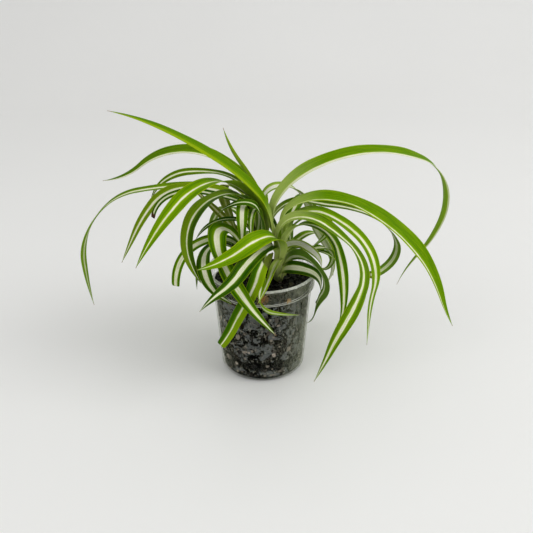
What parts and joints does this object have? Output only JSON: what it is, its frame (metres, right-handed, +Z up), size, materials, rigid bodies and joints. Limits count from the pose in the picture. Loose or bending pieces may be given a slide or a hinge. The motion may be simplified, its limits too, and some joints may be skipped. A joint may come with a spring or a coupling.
{
  "type": "potted spider plant",
  "caption": "Striped spider plant with long arching and hanging leaves, standing in dark soil in a small clear nursery pot.",
  "frame": {"origin": "middle of the pot's flat base, where it rests", "axes": "+Z up out of the pot, -Y towards the side the plant is seen from, +X to that viewer's right"},
  "size_m": [0.2345, 0.1594, 0.1696],
  "materials": {
    "pot": "clear grey thermoformed plastic, slightly hazed, with a rolled rim",
    "soil": "damp dark potting mix with roots, bark crumbs and a few pale grains",
    "crown": "pale green clasping leaf bases, slightly ribbed",
    "leaf_bright": "young light green leaf with a cream middle stripe, satin",
    "leaf_mid": "mid green leaf with a cream middle stripe, satin",
    "leaf_dark": "dark green leaf with a cream middle stripe, satin",
    "leaf_pale": "pale leaf underside, matt",
    "leaf_olive": "shaded olive green leaf, satin"
  },
  "bodies": {
    "root": {"pot": "pot", "soil": "soil", "crown_main": "crown", "crown_left": "crown", "crown_fore": "crown", "crown_low": "crown", "crown_back": "crown", "leaf_long_upper_left": "leaf_bright", "leaf_back_left_arch": "leaf_mid", "leaf_upright_thin": "leaf_bright", "leaf_left_curling": "leaf_dark", "leaf_far_left": "leaf_mid", "leaf_left_brown_tip": "leaf_dark", "leaf_left_middle": "leaf_dark", "leaf_broad_left": "leaf_bright", "leaf_left_hooked": "leaf_olive", "leaf_left_back_straight": "leaf_olive", "leaf_left_loop": "leaf_dark", "leaf_thin_loop": "leaf_dark", "leaf_low_dark_arch": "leaf_dark", "leaf_hanging_left": "leaf_mid", "leaf_hanging_left_thin": "leaf_mid", "leaf_old_sheath": "leaf_olive", "leaf_looped_across_pot": "leaf_mid", "leaf_left_pot_side": "leaf_dark", "leaf_cut_left": "leaf_mid", "leaf_bright_front": "leaf_bright", "leaf_dark_front": "leaf_mid", "leaf_cut_front": "leaf_bright", "leaf_young_front": "leaf_bright", "leaf_small_front": "leaf_bright", "leaf_low_right_strand": "leaf_dark", "leaf_wide_over_rim": "leaf_dark", "leaf_pale_underside": "leaf_pale", "leaf_ring_curl": "leaf_mid", "leaf_right_folded_back": "leaf_mid", "leaf_high_right": "leaf_bright", "leaf_broad_right": "leaf_bright", "leaf_right_hook": "leaf_dark", "leaf_right_hanging": "leaf_bright", "leaf_twisted_front_right": "leaf_mid", "leaf_right_drooping": "leaf_mid", "leaf_back_right_pale": "leaf_pale", "leaf_back_1": "leaf_mid", "leaf_back_2": "leaf_bright", "leaf_back_3": "leaf_mid", "leaf_back_4": "leaf_dark", "leaf_back_5": "leaf_dark", "leaf_back_6": "leaf_mid", "leaf_back_7": "leaf_mid", "leaf_back_8": "leaf_bright", "leaf_back_9": "leaf_dark"}
  },
  "joints": []
}
